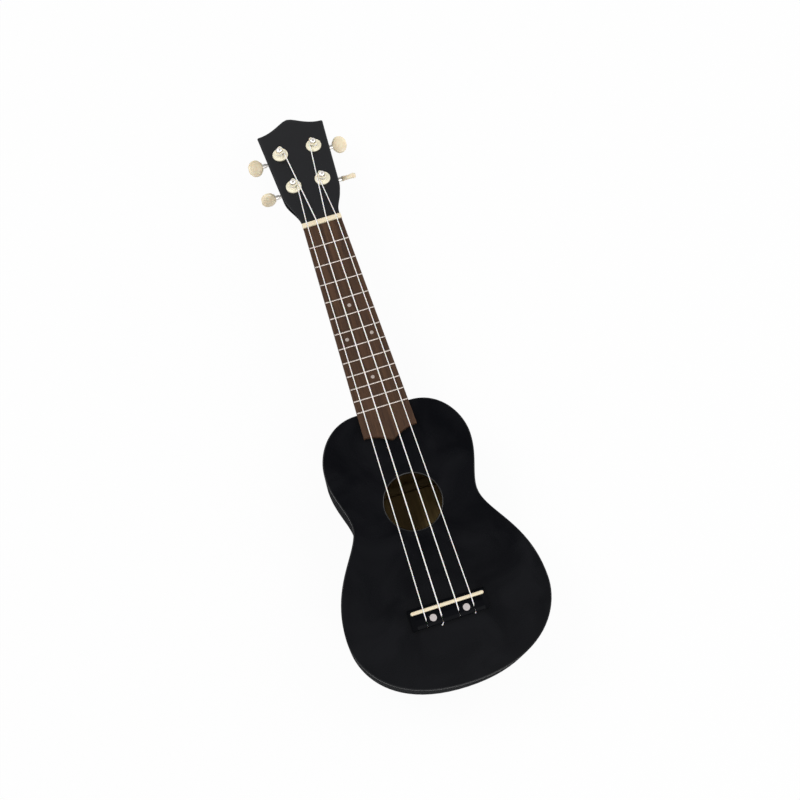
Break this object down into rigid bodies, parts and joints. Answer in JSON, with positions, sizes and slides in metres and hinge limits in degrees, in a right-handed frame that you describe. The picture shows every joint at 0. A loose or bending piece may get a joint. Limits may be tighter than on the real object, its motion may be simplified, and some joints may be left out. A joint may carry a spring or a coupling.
{
  "type": "soprano ukulele",
  "caption": "Small four-stringed plucked instrument with a waisted hollow body, fretted neck, tied bridge and worm-geared tuning machines.",
  "frame": {"origin": "on the outer face of the flat back, on the centreline, midway along the body", "axes": "+X towards the treble side, +Y along the neck towards the headstock, +Z out of the soundboard"},
  "size_m": [0.1716, 0.5303, 0.0705],
  "materials": {
    "black_lacquer": "satin black lacquer",
    "rosewood": "oiled, open grain",
    "bare_wood": "unfinished",
    "cream_plastic": "polished",
    "pearl_plastic": "polished, faintly pearly",
    "nickel": "nickel plated",
    "nylon": "smooth, slightly see-through"
  },
  "bodies": {
    "instrument": {"soundboard": "black_lacquer", "back": "black_lacquer", "side_left": "black_lacquer", "side_right": "black_lacquer", "neck": "black_lacquer", "bridge": "black_lacquer", "fingerboard": "rosewood", "neck_block": "bare_wood", "tail_block": "bare_wood", "top_brace_upper": "bare_wood", "top_brace_lower": "bare_wood", "back_brace_upper": "bare_wood", "back_brace_lower": "bare_wood", "bridge_plate": "bare_wood", "nut": "cream_plastic", "saddle": "cream_plastic", "fret_01": "nickel", "fret_02": "nickel", "fret_03": "nickel", "fret_04": "nickel", "fret_05": "nickel", "fret_06": "nickel", "fret_07": "nickel", "fret_08": "nickel", "fret_09": "nickel", "fret_10": "nickel", "fret_11": "nickel", "fret_12": "nickel", "string_g": "nylon", "string_c": "nylon", "string_e": "nylon", "string_a": "nylon", "ferrule_1": "cream_plastic", "tuner_plate_1": "nickel", "ferrule_2": "cream_plastic", "tuner_plate_2": "nickel", "ferrule_3": "cream_plastic", "tuner_plate_3": "nickel", "ferrule_4": "cream_plastic", "tuner_plate_4": "nickel"},
    "key_1": {"worm_shaft_1": "nickel", "button_1": "pearl_plastic"},
    "post_1": {"string_post_1": "nickel", "gear_1": "nickel", "winding_1": "nylon"},
    "key_2": {"worm_shaft_2": "nickel", "button_2": "pearl_plastic"},
    "post_2": {"string_post_2": "nickel", "gear_2": "nickel", "winding_2": "nylon"},
    "key_3": {"worm_shaft_3": "nickel", "button_3": "pearl_plastic"},
    "post_3": {"string_post_3": "nickel", "gear_3": "nickel", "winding_3": "nylon"},
    "key_4": {"worm_shaft_4": "nickel", "button_4": "pearl_plastic"},
    "post_4": {"string_post_4": "nickel", "gear_4": "nickel", "winding_4": "nylon"}
  },
  "joints": [
    {"name": "key_turn_1", "type": "hinge", "parent": "instrument", "child": "key_1", "pos_m": [-0.0133, 0.34073, 0.03311], "axis": [1, 0, 0], "continuous": true},
    {"name": "post_turn_1", "type": "hinge", "parent": "instrument", "child": "post_1", "pos_m": [-0.0133, 0.33822, 0.05112], "axis": [0, 0.2079, 0.9781], "continuous": true},
    {"name": "key_turn_2", "type": "hinge", "parent": "instrument", "child": "key_2", "pos_m": [-0.0156, 0.37741, 0.02531], "axis": [1, 0, 0], "continuous": true},
    {"name": "post_turn_2", "type": "hinge", "parent": "instrument", "child": "post_2", "pos_m": [-0.0156, 0.3749, 0.04333], "axis": [0, 0.2079, 0.9781], "continuous": true},
    {"name": "key_turn_3", "type": "hinge", "parent": "instrument", "child": "key_3", "pos_m": [0.0156, 0.37741, 0.02531], "axis": [1, 0, 0], "continuous": true},
    {"name": "post_turn_3", "type": "hinge", "parent": "instrument", "child": "post_3", "pos_m": [0.0156, 0.3749, 0.04333], "axis": [0, 0.2079, 0.9781], "continuous": true},
    {"name": "key_turn_4", "type": "hinge", "parent": "instrument", "child": "key_4", "pos_m": [0.0133, 0.34073, 0.03311], "axis": [1, 0, 0], "continuous": true},
    {"name": "post_turn_4", "type": "hinge", "parent": "instrument", "child": "post_4", "pos_m": [0.0133, 0.33822, 0.05112], "axis": [0, 0.2079, 0.9781], "continuous": true}
  ],
  "couplings": [
    {"joint": "post_turn_1", "follows": "key_turn_1", "ratio": 0.071429},
    {"joint": "post_turn_2", "follows": "key_turn_2", "ratio": 0.071429},
    {"joint": "post_turn_3", "follows": "key_turn_3", "ratio": 0.071429},
    {"joint": "post_turn_4", "follows": "key_turn_4", "ratio": 0.071429}
  ]
}
